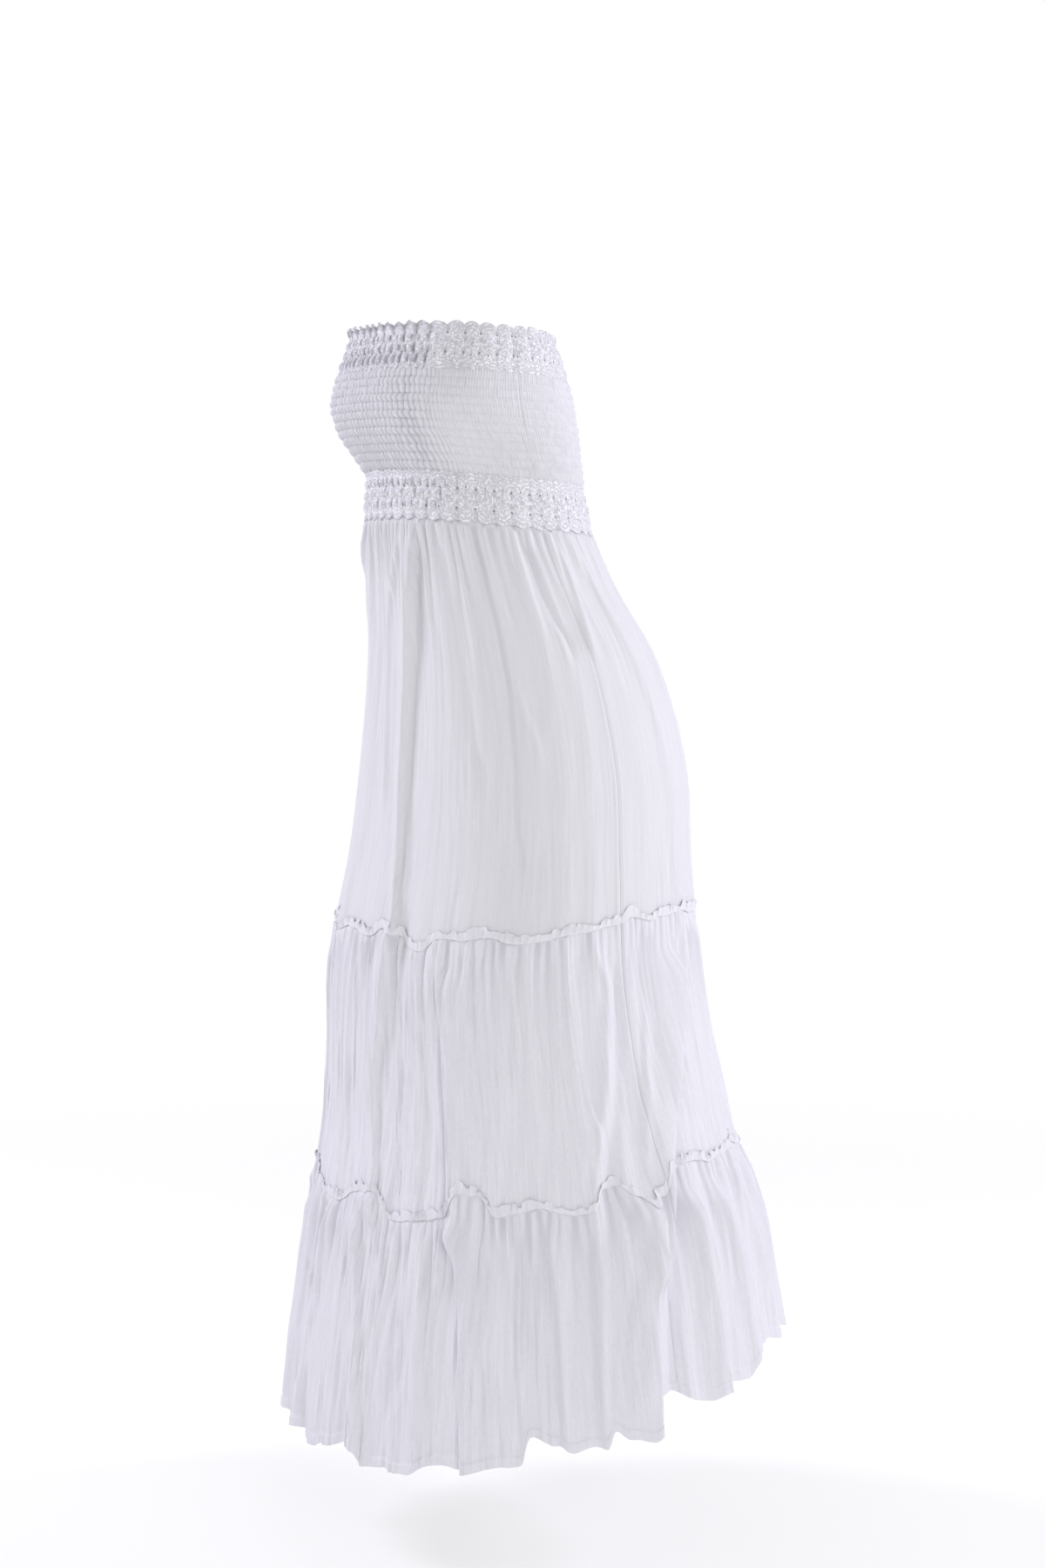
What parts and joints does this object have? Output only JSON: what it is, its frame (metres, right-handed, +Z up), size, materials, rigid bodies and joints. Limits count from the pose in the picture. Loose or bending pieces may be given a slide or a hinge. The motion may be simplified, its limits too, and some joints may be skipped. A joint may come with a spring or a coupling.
{
  "type": "strapless tiered maxi dress",
  "caption": "White cotton gauze maxi dress: smocked strapless bodice with lace bands, and a gathered tiered skirt with frilled seams.",
  "frame": {"origin": "middle of the smocked bodice, where its elastic holds on the wearer's chest", "axes": "+Z up, -Y the dress's front, +X the wearer's left"},
  "size_m": [0.6449, 0.5131, 1.2057],
  "materials": {
    "cotton_gauze": "matte crinkled white cotton gauze",
    "cotton_lace": "white cotton lace, matte"
  },
  "bodies": {
    "root": {"bodice_front": "cotton_gauze", "tier_1_front": "cotton_gauze", "tier_2_front": "cotton_gauze", "tier_3_front": "cotton_gauze", "bodice_back": "cotton_gauze", "tier_1_back": "cotton_gauze", "tier_2_back": "cotton_gauze", "tier_3_back": "cotton_gauze", "frill_1_front": "cotton_gauze", "frill_2_front": "cotton_gauze", "frill_1_back": "cotton_gauze", "frill_2_back": "cotton_gauze", "lace_top_front": "cotton_lace", "lace_waist_front": "cotton_lace", "lace_top_back": "cotton_lace", "lace_waist_back": "cotton_lace"}
  },
  "joints": []
}
